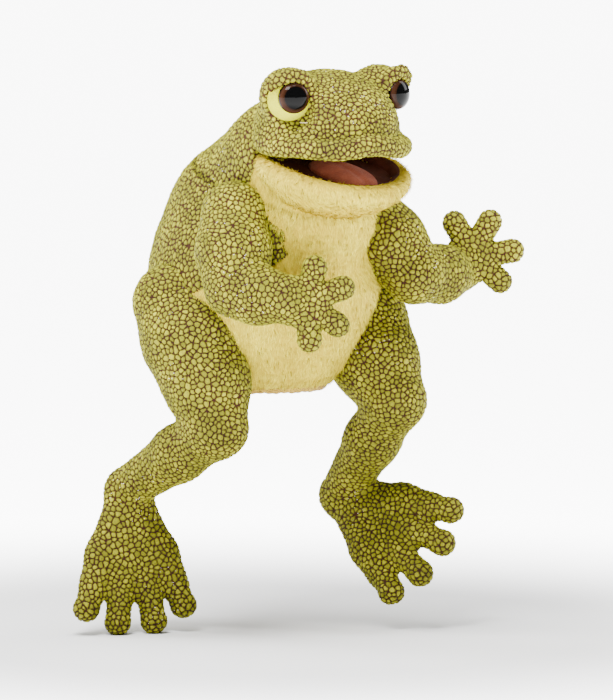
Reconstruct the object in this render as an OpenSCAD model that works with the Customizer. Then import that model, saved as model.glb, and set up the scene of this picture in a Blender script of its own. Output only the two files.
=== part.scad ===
// Soft frog hand puppet: a sewn glove body with a moving mouth and jointed, stuffed arms and legs.
// The frog faces -Y, +Z is up, and its own right side is -X.
// The origin is the centre of the arm opening, at the bottom of the body.

/* [Body] */
// Radius of the arm opening inside its hem
opening_r = 36; // [35:0.5:36]
// Half the width of the flat sides that the arms and legs lie against
flank_x = 44; // [44:0.5:45]
// Thickness of the body's fur fabric
body_skin = 2.5; // [2:0.5:3]
// Radius of the soft neck
neck_r = 42; // [41.5:0.5:42]

/* [Head] */
// How far the mouth stands open at rest, in degrees
jaw_open = 14; // [12:1:16]
// Radius of each padded brow
brow_r = 19; // [18:0.5:20]
// Radius of the domed plastic eye
eye_r = 10.5; // [10:0.5:11]
// Angle that each eye looks outwards from straight ahead
eye_turn = 35; // [28:1:40]

/* [Arms] */
// Length from shoulder to elbow
upper_arm_length = 54; // [52:1:56]
// Length from elbow to wrist
forearm_length = 47; // [45:1:49]
// Radius of each finger
finger_r = 7.5; // [7:0.5:8]

/* [Legs] */
// Length from hip to knee
thigh_length = 88; // [86:1:90]
// Length from knee to ankle
shin_length = 95; // [93:1:97]
// Length from ankle to the tip of a toe
foot_length = 98; // [94:1:102]
// Radius of each toe
toe_r = 8.5; // [8:0.5:9]

/* [Hidden] */

$fn = 48;
big = 400;
right = -1;
left = 1;

scale_green = "olivedrab";
plush_yellow = "khaki";
lining_brown = "saddlebrown";
stuffing_white = "whitesmoke";
board_grey = "dimgray";

// Body outline, as [radius, height] pairs from the hem to the top of the hump
body_outline = [
    [41, 0], [50, 10], [60, 25], [71, 44], [77, 62], [74, 84], [68, 105],
    [59, 126], [49, 141], [36, 152], [18, 159], [0, 161]
];
body_top_z = 161;
narrowest_panel = 1;
hem_height = 5;
hem_thickness = 5;
lining_height = 86;
lining_skin = 1;
panel_seam_y = -14;
wadding_low_z = 5;
wadding_shoulder = 5;
front_y = 4;
hip = [62, -3, 55];
hip_clear_r = 41;
thigh_back_y = 36;
shoulder = [54, -44, 112];

// Neck joint, about which the head nods and turns
neck_centre = [0, -28, 132];
neck_gap = 0.8;
neck_skin = 2.5;
neck_tilt = 45;
arm_hole_angle = 50;
mouth_hole_angle = 130;
throat_depth = 12;

// Head outline about its own upright axis, as [radius, height] pairs from the palate up
head_y = -82;
palate_z = 158;
head_top_z = 212;
head_outline = [
    [50, 158], [51, 166], [50, 178], [46.5, 190],
    [39, 200], [27, 208], [14, 211.5], [0, head_top_z]
];
head_skin = 2.5;
brow = [33.5, -80, 196];
lip_ring_r = 47;
lip_r = 6;
upper_lip_z = 162;
lip_half_angle = 112;
palate_r = 40.5;
mouth_back_y = -62;
mouth_cloth = 1.2;
board_thickness = 2;
pocket_r = 37;
pocket_half_width = 32;
pocket_height = 16.6;
pocket_skin = 1;
upper_pocket_back = 30;
open_pocket_back = 60;

// Jaw, drawn shut and then swung open about its hinge line
jaw_hinge = [0, -62, 153];
jaw_top_z = 150;
jaw_ring_r = 46;
lower_lip_z = 145.5;
jaw_rim_z = 146.8;
jaw_low_z = 126;
jaw_outline = [[0, jaw_low_z], [20, 127.5], [34, 132], [42, 138.5], [46, jaw_rim_z]];
jaw_back_y = -58;
jaw_neck_clear_r = 50;
thumb_pocket_r = 17;
thumb_pocket_height = 16;
tongue_half_width = 14;
tongue_thickness = 3.5;
tongue_back_y = -78;
tongue_tip_y = -118;

// Limb joints: a ball end turns in a hollow end, and each limb narrows to a cone beside the joint
limb_skin = 1.5;
joint_gap = 0.6;
neck_cone = 32;
elbow_r = 17;
wrist_r = 10.5;
knee_r = 18;
ankle_r = 13;
flank_gap = 0.6;

// Limb sections, as [length, start radius, end radius, swelling]
upper_arm_form = [upper_arm_length, 23, 18, 1];
forearm_form = [forearm_length, 17, 12, 1.5];
thigh_form = [thigh_length, 36, 19, 2];
shin_form = [shin_length, 17, 14, 0.5];

// Hand
palm_at = 23;
palm_r = 15;
palm_thickness = 13;
finger_reach = 32;
finger_root = 17;
wrist_half_width = 8;
finger_angles = [86, 29, -29, -88];
palm_arc = 130;
wrist_tip = 0.6;

// Foot
web_reach = 70;
web_half_angle = 29;
web_thickness = 15;
toe_angles = [-23, -8, 8, 23];
toe_root = 52;

// Eye, its washer, and the velour patch round it
eye_set = 13.5;
eye_back = 15;
eye_stem_r = 3;
stem_play = 0.05;
washer_r = 10;
washer_low = 4;
washer_thickness = 2;
patch_r = 14;
patch_skin = 1.2;
socket_r = 14.3;

// Direction of a limb from how far it turns outwards from straight ahead and how far it rises
function aim(side, outward, rise) =
    [side * sin(outward) * cos(rise), -cos(outward) * cos(rise), sin(rise)];

function mirrored(side, p) = [side * p.x, p.y, p.z];

// Limb directions at rest, as [outward, rise], from the root of the limb to its tip
arm_pose_right = [[51, -62], [-38, 1], [-55, -5]];
arm_pose_left = [[46, -52], [104, 2], [55, 35]];
leg_pose_right = [[3, -66], [169, -29], [17, -79]];
leg_pose_left = [[4, -50], [178, -46], [13, -25]];
hand_roll_right = 0;
hand_roll_left = 0;
foot_roll_right = 0;
foot_roll_left = 62;

function limb_dir(side, pose, i) = aim(side, pose[i][0], pose[i][1]);

function joint_at(side, root, pose, lengths, i) =
    i == 0 ? mirrored(side, root)
           : joint_at(side, root, pose, lengths, i - 1) + lengths[i - 1] * limb_dir(side, pose, i - 1);

arm_lengths = [upper_arm_length, forearm_length];
leg_lengths = [thigh_length, shin_length];

// Puts the children's +Z along a direction, at a point, with their +X level
module along(from, dir, roll = 0) {
    translate(from)
        rotate([0, 0, atan2(dir.y, dir.x)])
            rotate([0, acos(dir.z), 0])
                rotate([0, 0, 90 + roll])
                    children();
}

// ---------- limb sections ----------

// Limb radius at height z: its own swelling form, held inside the cone at each jointed end
function limb_wall(z, form, socketed) =
    let (
        len = form[0],
        r = form[1] + (form[2] - form[1]) * z / len + form[3] * sin(180 * z / len)
    )
    min(r, (len - z) * tan(neck_cone), socketed ? z * tan(neck_cone) : r);

// Outer wall of a limb from its start to the tip of its end ball; inset gives the inside of the skin
function limb_side(form, socket_r, ball_r, inset) =
    let (
        len = form[0],
        r0 = form[1],
        steps = 12,
        socketed = socket_r > 0,
        first_r = socketed ? socket_r * sin(neck_cone) - inset : r0 - inset,
        z0 = socketed ? sqrt(socket_r * socket_r - first_r * first_r) : 0,
        z1 = len - ball_r * cos(neck_cone),
        inner_ball = ball_r - inset,
        ball_from = asin((ball_r * sin(neck_cone) - inset) / inner_ball)
    )
    concat(
        [[first_r, z0]],
        [for (i = [1:steps - 1]) let (z = z0 + (z1 - z0) * i / steps)
            [limb_wall(z, form, socketed) - inset, z]],
        [for (i = [0:12]) let (a = ball_from + (180 - ball_from) * i / 12)
            [inner_ball * sin(a), len - inner_ball * cos(a)]]
    );

// Hollow start of a limb, an arc of the socket from the axis out to a given radius
function socket_arc(socket_r, out_r) =
    let (reach = asin(out_r / socket_r))
    [for (i = [0:5]) let (a = reach * i / 6) [socket_r * sin(a), socket_r * cos(a)]];

// Round start of the first section of a limb
function round_start(r) = [for (i = [0:7]) let (a = 90 * i / 8) [r * sin(a), -r * cos(a)]];

function reversed(points) = [for (i = [len(points) - 1:-1:0]) points[i]];

module limb_skin_section(form, socket_r, ball_r) {
    r0 = form[1];
    outer = limb_side(form, socket_r, ball_r, 0);
    inner = limb_side(form, socket_r, ball_r, limb_skin);
    if (socket_r > 0)
        rotate_extrude() polygon(concat(outer, reversed(inner)));
    else
        rotate_extrude() polygon(concat(
            round_start(r0), outer, reversed(inner), reversed(round_start(r0 - limb_skin))));
}

module limb_filling_section(form, socket_r, ball_r) {
    r0 = form[1];
    inner = limb_side(form, socket_r, ball_r, limb_skin);
    start = socket_r > 0 ? socket_arc(socket_r, inner[0][0]) : round_start(r0 - limb_skin);
    rotate_extrude() polygon(concat(start, inner));
}

// Keeps a limb outside the flank of the body it is sewn to
module outside_flank(side) {
    intersection() {
        children();
        translate([side * (flank_x + flank_gap + big / 2), 0, 0]) cube(big, center = true);
    }
}

// ---------- arms ----------

module arm_section(side, pose, i, filling) {
    form = i == 0 ? upper_arm_form : forearm_form;
    start_socket = i == 0 ? 0 : elbow_r + joint_gap;
    end_ball = i == 0 ? elbow_r : wrist_r;
    along(joint_at(side, shoulder, pose, arm_lengths, i), limb_dir(side, pose, i))
        if (filling) limb_filling_section(form, start_socket, end_ball);
        else limb_skin_section(form, start_socket, end_ball);
}

module palm_form(inset) {
    r = palm_r - inset;
    wrist_x = wrist_half_width - inset;
    wrist_z = wrist_half_width / tan(neck_cone);
    rotate([90, 0, 0])
        translate([0, 0, inset - palm_thickness / 2])
            linear_extrude(palm_thickness - 2 * inset)
                polygon(concat(
                    [[-wrist_x, wrist_z], [-wrist_tip, 0], [wrist_tip, 0], [wrist_x, wrist_z]],
                    [for (i = [0:12]) let (a = palm_arc * (1 - i / 6)) [r * sin(a), palm_at + r * cos(a)]]));
}

module wrist_socket() { sphere(wrist_r + joint_gap); }

// Hand skin: palm and wrist round the filling, and fingers spread about the middle of the palm
module hand_form() {
    difference() {
        union() {
            palm_form(0);
            for (a = finger_angles)
                translate([0, 0, palm_at]) rotate([0, a, 0]) {
                    translate([0, 0, finger_root]) sphere(finger_r);
                    translate([0, 0, finger_root])
                        cylinder(h = finger_reach - finger_r - finger_root, r = finger_r);
                    translate([0, 0, finger_reach - finger_r]) sphere(finger_r);
                }
        }
        palm_form(limb_skin);
        wrist_socket();
    }
}

module hand_filling_form() {
    difference() {
        palm_form(limb_skin);
        wrist_socket();
    }
}

module hand(side, pose, roll, filling) {
    wrist = joint_at(side, shoulder, pose, arm_lengths, 2);
    along(wrist, limb_dir(side, pose, 2), 90 * side + roll)
        if (filling) hand_filling_form();
        else hand_form();
}

module upper_arm_right() {
    color(scale_green) outside_flank(right)
        arm_section(right, arm_pose_right, 0, false);
}
module upper_arm_stuffing_right() {
    color(stuffing_white) outside_flank(right)
        arm_section(right, arm_pose_right, 0, true);
}
module forearm_right() {
    color(scale_green) arm_section(right, arm_pose_right, 1, false);
}
module forearm_stuffing_right() {
    color(stuffing_white) arm_section(right, arm_pose_right, 1, true);
}
module hand_right() {
    color(scale_green) hand(right, arm_pose_right, hand_roll_right, false);
}
module hand_stuffing_right() {
    color(stuffing_white) hand(right, arm_pose_right, hand_roll_right, true);
}

module upper_arm_left() {
    color(scale_green) outside_flank(left)
        arm_section(left, arm_pose_left, 0, false);
}
module upper_arm_stuffing_left() {
    color(stuffing_white) outside_flank(left)
        arm_section(left, arm_pose_left, 0, true);
}
module forearm_left() {
    color(scale_green) arm_section(left, arm_pose_left, 1, false);
}
module forearm_stuffing_left() {
    color(stuffing_white) arm_section(left, arm_pose_left, 1, true);
}
module hand_left() {
    color(scale_green) hand(left, arm_pose_left, hand_roll_left, false);
}
module hand_stuffing_left() {
    color(stuffing_white) hand(left, arm_pose_left, hand_roll_left, true);
}

// ---------- legs ----------

module leg_section(side, pose, i, filling) {
    form = i == 0 ? thigh_form : shin_form;
    start_socket = i == 0 ? 0 : knee_r + joint_gap;
    end_ball = i == 0 ? knee_r : ankle_r;
    along(joint_at(side, hip, pose, leg_lengths, i), limb_dir(side, pose, i))
        if (filling) limb_filling_section(form, start_socket, end_ball);
        else limb_skin_section(form, start_socket, end_ball);
}

// Foot in its own plane: a web that widens from the ankle, and four toes
module foot_form(inset) {
    socket_r = ankle_r + joint_gap;
    apex_z = inset / sin(web_half_angle);
    rim_r = web_reach - inset;
    rim_angle = web_half_angle - asin(inset / rim_r);
    difference() {
        union() {
            rotate([90, 0, 0])
                translate([0, 0, inset - web_thickness / 2])
                    linear_extrude(web_thickness - 2 * inset)
                        polygon(concat(
                            [[0, apex_z]],
                            [for (i = [0:8]) let (a = rim_angle * (i / 4 - 1))
                                [rim_r * sin(a), rim_r * cos(a)]]));
            for (a = toe_angles)
                rotate([0, a, 0]) {
                    translate([0, 0, toe_root]) sphere(toe_r - inset);
                    translate([0, 0, toe_root])
                        cylinder(h = foot_length - toe_r - toe_root, r = toe_r - inset);
                    translate([0, 0, foot_length - toe_r]) sphere(toe_r - inset);
                }
        }
        sphere(socket_r);
    }
}

module foot(side, pose, roll, filling) {
    ankle = joint_at(side, hip, pose, leg_lengths, 2);
    along(ankle, limb_dir(side, pose, 2), roll)
        if (filling) foot_form(limb_skin);
        else difference() {
            foot_form(0);
            foot_form(limb_skin);
        }
}

module thigh_right() {
    color(scale_green) outside_flank(right)
        leg_section(right, leg_pose_right, 0, false);
}
module thigh_stuffing_right() {
    color(stuffing_white) outside_flank(right)
        leg_section(right, leg_pose_right, 0, true);
}
module shin_right() {
    color(scale_green) leg_section(right, leg_pose_right, 1, false);
}
module shin_stuffing_right() {
    color(stuffing_white) leg_section(right, leg_pose_right, 1, true);
}
module foot_right() {
    color(scale_green) foot(right, leg_pose_right, foot_roll_right, false);
}
module foot_stuffing_right() {
    color(stuffing_white) foot(right, leg_pose_right, foot_roll_right, true);
}

module thigh_left() {
    color(scale_green) outside_flank(left)
        leg_section(left, leg_pose_left, 0, false);
}
module thigh_stuffing_left() {
    color(stuffing_white) outside_flank(left)
        leg_section(left, leg_pose_left, 0, true);
}
module shin_left() {
    color(scale_green) leg_section(left, leg_pose_left, 1, false);
}
module shin_stuffing_left() {
    color(stuffing_white) leg_section(left, leg_pose_left, 1, true);
}
module foot_left() {
    color(scale_green) foot(left, leg_pose_left, foot_roll_left, false);
}
module foot_stuffing_left() {
    color(stuffing_white) foot(left, leg_pose_left, foot_roll_left, true);
}

// ---------- body ----------

// The body's outline inside a given inset, from low_z up
function body_side(inset, low_z) =
    concat(
        [[lookup(low_z, [for (p = body_outline) [p[1], p[0]]]) - inset, low_z]],
        [for (p = body_outline) if (p[1] > low_z + narrowest_panel)
            [max(p[0] - inset, 0), p[1] - inset * p[1] / body_top_z]]);

// A lathed body profile with room beside it for the limbs
module body_form(inset, profile) {
    x = flank_x - inset;
    difference() {
        rotate_extrude() polygon(profile);
        for (side = [right, left]) {
            // room in front for the arm and the leg
            translate([side * (x + big / 2), front_y + inset - big / 2, 0]) cube(big, center = true);
            // room for the hip, and for the thigh below it
            translate([side * (x + big / 2), hip.y, hip.z])
                rotate([0, 90, 0]) cylinder(h = big, r = hip_clear_r + inset, center = true);
            translate([side * (x + big / 2), thigh_back_y + inset - big / 2, hip.z - big / 2])
                cube(big, center = true);
        }
    }
}

module neck_space() { translate(neck_centre) sphere(neck_r + neck_gap); }

module body_shell() {
    difference() {
        body_form(0, concat([[0, 0]], body_side(0, 0)));
        body_form(body_skin, concat([[0, -1]], body_side(body_skin, -1)));
        neck_space();
    }
}

module back_panel() {
    color(scale_green) intersection() {
        body_shell();
        translate([0, panel_seam_y + big / 2, 0]) cube(big, center = true);
    }
}

module belly_panel() {
    color(plush_yellow) intersection() {
        body_shell();
        translate([0, panel_seam_y - big / 2, 0]) cube(big, center = true);
    }
}

// The wadding is a thick sleeve between the lining and the fur fabric
module body_wadding() {
    sleeve_r = opening_r + lining_skin;
    side = [for (p = body_side(body_skin, wadding_low_z)) if (p[0] > sleeve_r + 1) p];
    wadding_profile = concat([[sleeve_r, wadding_low_z]], side, [[sleeve_r, side[len(side) - 1][1] + wadding_shoulder]]);
    color(stuffing_white) difference() {
        body_form(body_skin, wadding_profile);
        neck_space();
    }
}

module body_lining() {
    color(lining_brown) difference() {
        cylinder(h = lining_height, r = opening_r + lining_skin);
        translate([0, 0, -1]) cylinder(h = lining_height + 2, r = opening_r);
    }
}

module opening_hem() {
    color("goldenrod") translate([0, 0, -hem_height]) difference() {
        cylinder(h = hem_height, r = opening_r + hem_thickness);
        translate([0, 0, -1]) cylinder(h = hem_height + 2, r = opening_r);
    }
}

// ---------- neck ----------

// A band of a sphere about the neck joint, tilted forwards, open below for the arm and ahead for the hand
module neck_band(outer_r, inner_r) {
    rotate_extrude() polygon(concat(
        [for (i = [0:12]) let (a = arm_hole_angle + (mouth_hole_angle - arm_hole_angle) * i / 12)
            [outer_r * sin(a), -outer_r * cos(a)]],
        [for (i = [12:-1:0]) let (a = arm_hole_angle + (mouth_hole_angle - arm_hole_angle) * i / 12)
            [inner_r * sin(a), -inner_r * cos(a)]]));
}

module on_neck() { translate(neck_centre) rotate([neck_tilt, 0, 0]) children(); }

module throat_side() { translate([0, -throat_depth - big / 2, 0]) cube(big, center = true); }

module neck_panel() {
    color(scale_green) on_neck() difference() {
        neck_band(neck_r, neck_r - neck_skin);
        throat_side();
    }
}

module throat_panel() {
    color(plush_yellow) on_neck() intersection() {
        neck_band(neck_r, neck_r - neck_skin);
        throat_side();
    }
}

module neck_lining() {
    color(lining_brown) on_neck() neck_band(neck_r - neck_skin, neck_r - neck_skin - lining_skin);
}

// ---------- head ----------

module on_head_axis() { translate([0, head_y, 0]) children(); }

module head_form(inset) {
    on_head_axis() rotate_extrude()
        polygon(concat(
            [[0, palate_z]],
            [for (p = head_outline) let (share = (p[1] - palate_z) / (head_top_z - palate_z))
                [max(p[0] - inset, 0), p[1] - inset * share]]));
}

module brow_balls() {
    for (side = [right, left]) translate(mirrored(side, brow)) sphere(brow_r);
}

// A padded lip: a roll around the front of the mouth
module lip_roll(ring_r, roll_r, z) {
    on_head_axis() translate([0, 0, z]) rotate([0, 0, -90 - lip_half_angle])
        rotate_extrude(angle = 2 * lip_half_angle) translate([ring_r, 0]) circle(roll_r);
}

module pocket_form(round_r, half_width, low_z, high_z, open_back) {
    on_head_axis() translate([0, 0, low_z]) cylinder(h = high_z - low_z, r = round_r);
    translate([-half_width, head_y, low_z])
        cube([2 * half_width, open_back ? open_pocket_back : upper_pocket_back, high_z - low_z]);
}

module upper_pocket_outer() {
    low_z = palate_z + mouth_cloth + board_thickness;
    pocket_form(pocket_r, pocket_half_width, low_z, low_z + pocket_height, false);
}

module finger_pocket() {
    low_z = palate_z + mouth_cloth + board_thickness;
    color(lining_brown) difference() {
        upper_pocket_outer();
        pocket_form(pocket_r - pocket_skin, pocket_half_width - pocket_skin,
                    low_z + pocket_skin, low_z + pocket_height - pocket_skin, true);
        neck_space();
        brow_balls();
    }
}

module mouth_sheet(low_z, thickness) {
    difference() {
        on_head_axis() translate([0, 0, low_z]) cylinder(h = thickness, r = palate_r);
        translate([0, mouth_back_y + big / 2, 0]) cube(big, center = true);
    }
}

module upper_mouth_lining() { color(lining_brown) mouth_sheet(palate_z, mouth_cloth); }
module upper_mouth_board() { color(board_grey) mouth_sheet(palate_z + mouth_cloth, board_thickness); }

module upper_lip() {
    color(scale_green) difference() {
        lip_roll(lip_ring_r, lip_r, upper_lip_z);
        neck_space();
    }
}

module mouth_stack() {
    on_head_axis() translate([0, 0, palate_z - 1])
        cylinder(h = mouth_cloth + board_thickness + 1, r = palate_r);
}

module eye_sockets() {
    for (side = [right, left]) on_eye_axis(side) cylinder(h = big, r = socket_r);
}

module head_panel() {
    color(scale_green) difference() {
        head_form(0);
        head_form(head_skin);
        brow_balls();
        eye_sockets();
        lip_roll(lip_ring_r, lip_r, upper_lip_z);
        neck_space();
    }
}

module head_stuffing() {
    color(stuffing_white) difference() {
        head_form(head_skin);
        brow_balls();
        eye_sockets();
        lip_roll(lip_ring_r, lip_r, upper_lip_z);
        neck_space();
        mouth_stack();
        upper_pocket_outer();
    }
}

module on_eye_axis(side) { along(mirrored(side, brow), aim(side, eye_turn, 0)) children(); }

module eye_form() {
    intersection() {
        translate([0, 0, eye_set]) sphere(eye_r);
        translate([0, 0, eye_back + big / 2]) cube(big, center = true);
    }
    cylinder(h = eye_back + 1, r = eye_stem_r);
}

module washer_form() {
    translate([0, 0, washer_low]) difference() {
        cylinder(h = washer_thickness, r = washer_r);
        translate([0, 0, -1]) cylinder(h = washer_thickness + 2, r = eye_stem_r + stem_play);
    }
}

module eye(side) { color("black") on_eye_axis(side) eye_form(); }

module eye_patch(side) {
    color("yellow") on_eye_axis(side) difference() {
        intersection() {
            sphere(brow_r + patch_skin);
            cylinder(h = brow_r + patch_skin + 1, r = patch_r);
        }
        sphere(brow_r);
        eye_form();
    }
}

module brow_pad(side) {
    color(scale_green) difference() {
        translate(mirrored(side, brow)) sphere(brow_r);
        on_eye_axis(side) eye_form();
        on_eye_axis(side) translate([0, 0, washer_low]) cylinder(h = washer_thickness, r = washer_r);
    }
}

module brow_right() { brow_pad(right); }
module brow_left() { brow_pad(left); }
module eye_patch_right() { eye_patch(right); }
module eye_patch_left() { eye_patch(left); }
module eye_right() { eye(right); }
module eye_left() { eye(left); }
module eye_washers() { color(board_grey) for (side = [right, left]) on_eye_axis(side) washer_form(); }

// ---------- jaw ----------

module swing_open() {
    translate(jaw_hinge) rotate([jaw_open, 0, 0]) translate(-jaw_hinge) children();
}

module jaw_form(inset) {
    difference() {
        on_head_axis() rotate_extrude()
            polygon(concat(
                [for (p = jaw_outline) let (share = (jaw_rim_z - p[1]) / (jaw_rim_z - jaw_low_z))
                    [max(p[0] - inset, 0), p[1] + inset * share]],
                [[0, jaw_rim_z]]));
        translate([0, jaw_back_y + big / 2, 0]) cube(big, center = true);
    }
}

module clear_of_neck() {
    difference() {
        swing_open() children();
        translate(neck_centre) sphere(jaw_neck_clear_r);
    }
}

module thumb_pocket_outer() {
    top_z = jaw_top_z - mouth_cloth - board_thickness;
    pocket_form(thumb_pocket_r, thumb_pocket_r, top_z - thumb_pocket_height, top_z, false);
}

module chin_panel() {
    color(plush_yellow) clear_of_neck() difference() {
        jaw_form(0);
        jaw_form(head_skin);
        lip_roll(jaw_ring_r, lip_r, lower_lip_z);
    }
}

module jaw_stuffing() {
    color(stuffing_white) clear_of_neck() difference() {
        jaw_form(head_skin);
        lip_roll(jaw_ring_r, lip_r, lower_lip_z);
        thumb_pocket_outer();
    }
}

module lower_lip() { color(plush_yellow) clear_of_neck() lip_roll(jaw_ring_r, lip_r, lower_lip_z); }

module lower_sheet(low_z, thickness) {
    clear_of_neck() difference() {
        on_head_axis() translate([0, 0, low_z]) cylinder(h = thickness, r = palate_r - 0.5);
        translate([0, mouth_back_y + big / 2, 0]) cube(big, center = true);
    }
}

module lower_mouth_lining() { color(lining_brown) lower_sheet(jaw_top_z - mouth_cloth, mouth_cloth); }
module lower_mouth_board() {
    color(board_grey) lower_sheet(jaw_top_z - mouth_cloth - board_thickness, board_thickness);
}

module thumb_pocket() {
    top_z = jaw_top_z - mouth_cloth - board_thickness;
    inner_r = thumb_pocket_r - pocket_skin;
    color(lining_brown) clear_of_neck() difference() {
        intersection() {
            thumb_pocket_outer();
            jaw_form(head_skin);
        }
        pocket_form(inner_r, inner_r, top_z - thumb_pocket_height + pocket_skin, top_z - pocket_skin, true);
    }
}

module tongue() {
    round_y = tongue_tip_y + tongue_half_width;
    color("indianred") swing_open() translate([0, 0, jaw_top_z]) {
        translate([0, round_y, 0]) cylinder(h = tongue_thickness, r = tongue_half_width);
        translate([-tongue_half_width, round_y, 0])
            cube([2 * tongue_half_width, tongue_back_y - round_y, tongue_thickness]);
    }
}

back_panel();
belly_panel();
body_wadding();
body_lining();
opening_hem();
neck_panel();
throat_panel();
neck_lining();
head_panel();
head_stuffing();
brow_right();
brow_left();
eye_patch_right();
eye_patch_left();
eye_right();
eye_left();
eye_washers();
upper_lip();
upper_mouth_lining();
upper_mouth_board();
finger_pocket();
chin_panel();
jaw_stuffing();
lower_lip();
lower_mouth_lining();
lower_mouth_board();
thumb_pocket();
tongue();
upper_arm_right();
upper_arm_stuffing_right();
forearm_right();
forearm_stuffing_right();
hand_right();
hand_stuffing_right();
upper_arm_left();
upper_arm_stuffing_left();
forearm_left();
forearm_stuffing_left();
hand_left();
hand_stuffing_left();
thigh_right();
thigh_stuffing_right();
shin_right();
shin_stuffing_right();
foot_right();
foot_stuffing_right();
thigh_left();
thigh_stuffing_left();
shin_left();
shin_stuffing_left();
foot_left();
foot_stuffing_left();
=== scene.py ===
import math
import bpy
import numpy as np
from mathutils import Vector, Matrix


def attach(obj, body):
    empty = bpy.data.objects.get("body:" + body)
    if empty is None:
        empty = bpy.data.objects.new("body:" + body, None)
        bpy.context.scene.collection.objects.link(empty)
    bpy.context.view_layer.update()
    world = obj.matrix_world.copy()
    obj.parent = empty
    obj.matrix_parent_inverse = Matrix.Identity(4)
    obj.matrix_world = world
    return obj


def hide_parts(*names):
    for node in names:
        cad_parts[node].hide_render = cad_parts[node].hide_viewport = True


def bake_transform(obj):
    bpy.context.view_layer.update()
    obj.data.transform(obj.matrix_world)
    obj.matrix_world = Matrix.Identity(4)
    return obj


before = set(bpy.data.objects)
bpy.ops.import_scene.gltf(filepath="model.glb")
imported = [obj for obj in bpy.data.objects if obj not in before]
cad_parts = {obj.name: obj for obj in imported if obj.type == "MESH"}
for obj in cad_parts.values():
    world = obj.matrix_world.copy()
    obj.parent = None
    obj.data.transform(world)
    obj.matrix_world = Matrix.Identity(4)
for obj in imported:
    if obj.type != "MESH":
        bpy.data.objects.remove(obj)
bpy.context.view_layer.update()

MM = 0.001
RIGHT, LEFT = -1, 1
WORD = {RIGHT: "right", LEFT: "left"}
UP = np.array([0, 0, 1], np.float32)

# ---------------------------------------------------------------- the frog's skeleton, in mm

NECK = np.array([0, -28, 132.0])
NECK_UP = np.array([0, -0.3, 0.954])
HEAD_AXIS = np.array([0, -82.0])
JAW_HINGE = np.array([0, -62, 153.0])
JAW_OPEN = 14
SHOULDER = (54, -44, 112)
HIP = (62, -3, 55)
ARM_LENGTHS = (54, 47)
LEG_LENGTHS = (88, 95)
ARM_POSE = {RIGHT: ((51, -62), (-38, 1), (-55, -5)), LEFT: ((46, -52), (104, 2), (55, 35))}
LEG_POSE = {RIGHT: ((3, -66), (169, -29), (17, -79)), LEFT: ((4, -50), (178, -46), (13, -25))}
FOOT_ROLL = {RIGHT: 0, LEFT: 62}


def turn(axis, degrees):
    return np.array(Matrix.Rotation(math.radians(degrees), 3, axis))


def aim(side, outward, rise):
    """Direction of a limb section: outward from straight ahead, and rise above the level, in degrees."""
    o, r = math.radians(outward), math.radians(rise)
    return np.array([side * math.sin(o) * math.cos(r), -math.cos(o) * math.cos(r), math.sin(r)])


def limb_points(side, root, pose, lengths):
    """Points where the limb's three sections start, and their directions."""
    dirs = [aim(side, *p) for p in pose]
    first = np.array([side * root[0], root[1], root[2]], float)
    second = first + lengths[0] * dirs[0]
    return [first, second, second + lengths[1] * dirs[1]], dirs


def limb_frame(direction, roll):
    """Rotation whose +Z lies along the direction, with +X level before the roll."""
    heading = math.degrees(math.atan2(direction[1], direction[0]))
    tip = math.degrees(math.acos(direction[2]))
    return turn("Z", heading) @ turn("Y", tip) @ turn("Z", 90 + roll)


# ---------------------------------------------------------------- distance fields, in mm

def soft_min(a, b, k):
    """Union of two fields with a fillet of about k mm."""
    h = np.clip(0.5 + 0.5 * (b - a) / k, 0, 1)
    return b * (1 - h) + a * h - k * h * (1 - h)


def soft_max(a, b, k):
    """Overlap of two fields with a fillet of about k mm."""
    return -soft_min(-a, -b, k)


def capsule(p, a, b, ra, rb):
    a, b = np.asarray(a, np.float32), np.asarray(b, np.float32)
    ab = b - a
    t = np.clip(((p - a) @ ab) / float(ab @ ab), 0, 1)
    return np.linalg.norm(p - a - t[..., None] * ab, axis=-1) - (ra + (rb - ra) * t)


def chain(p, points, radii, k):
    """Smooth union of capsules through the points."""
    field = None
    for i in range(len(points) - 1):
        part = capsule(p, points[i], points[i + 1], radii[i], radii[i + 1])
        field = part if field is None else soft_min(field, part, k)
    return field


def ellipsoid(p, centre, radii):
    q = p - np.asarray(centre, np.float32)
    r = np.asarray(radii, np.float32)
    k0 = np.linalg.norm(q / r, axis=-1)
    k1 = np.linalg.norm(q / (r * r), axis=-1)
    return k0 * (k0 - 1) / np.maximum(k1, 1e-6)


def lathe(p, outline):
    """Solid turned about the frame's upright axis; the outline is (radius, height) from bottom to top."""
    r = np.hypot(p[..., 0], p[..., 1])
    z = p[..., 2]
    pts = [(0, outline[0][1])] + list(outline)
    if outline[-1][0] > 0:
        pts.append((0, outline[-1][1]))
    best = np.full(r.shape, 1e9, np.float32)
    inside = np.zeros(r.shape, bool)
    for (r0, z0), (r1, z1) in zip(pts, pts[1:] + pts[:1]):
        if not (r0 == 0 and r1 == 0):
            er, ez = r1 - r0, z1 - z0
            t = np.clip(((r - r0) * er + (z - z0) * ez) / (er * er + ez * ez), 0, 1)
            best = np.minimum(best, np.hypot(r - r0 - t * er, z - z0 - t * ez))
        if z0 != z1:
            crosses = (z0 > z) != (z1 > z)
            inside ^= crosses & (r < (r1 - r0) * (z - z0) / (z1 - z0) + r0)
    return np.where(inside, -best, best)


def ring_arc(p, centre, ring_r, tube_r, half_angle):
    """Roll of the given tube radius round an upright axis, open at the back."""
    x, y, z = p[..., 0] - centre[0], -(p[..., 1] - centre[1]), p[..., 2] - centre[2]
    angle = np.clip(np.arctan2(x, y), -math.radians(half_angle), math.radians(half_angle))
    return np.sqrt((x - ring_r * np.sin(angle)) ** 2 + (y - ring_r * np.cos(angle)) ** 2 + z * z) - tube_r


BLOCK = 6


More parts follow.
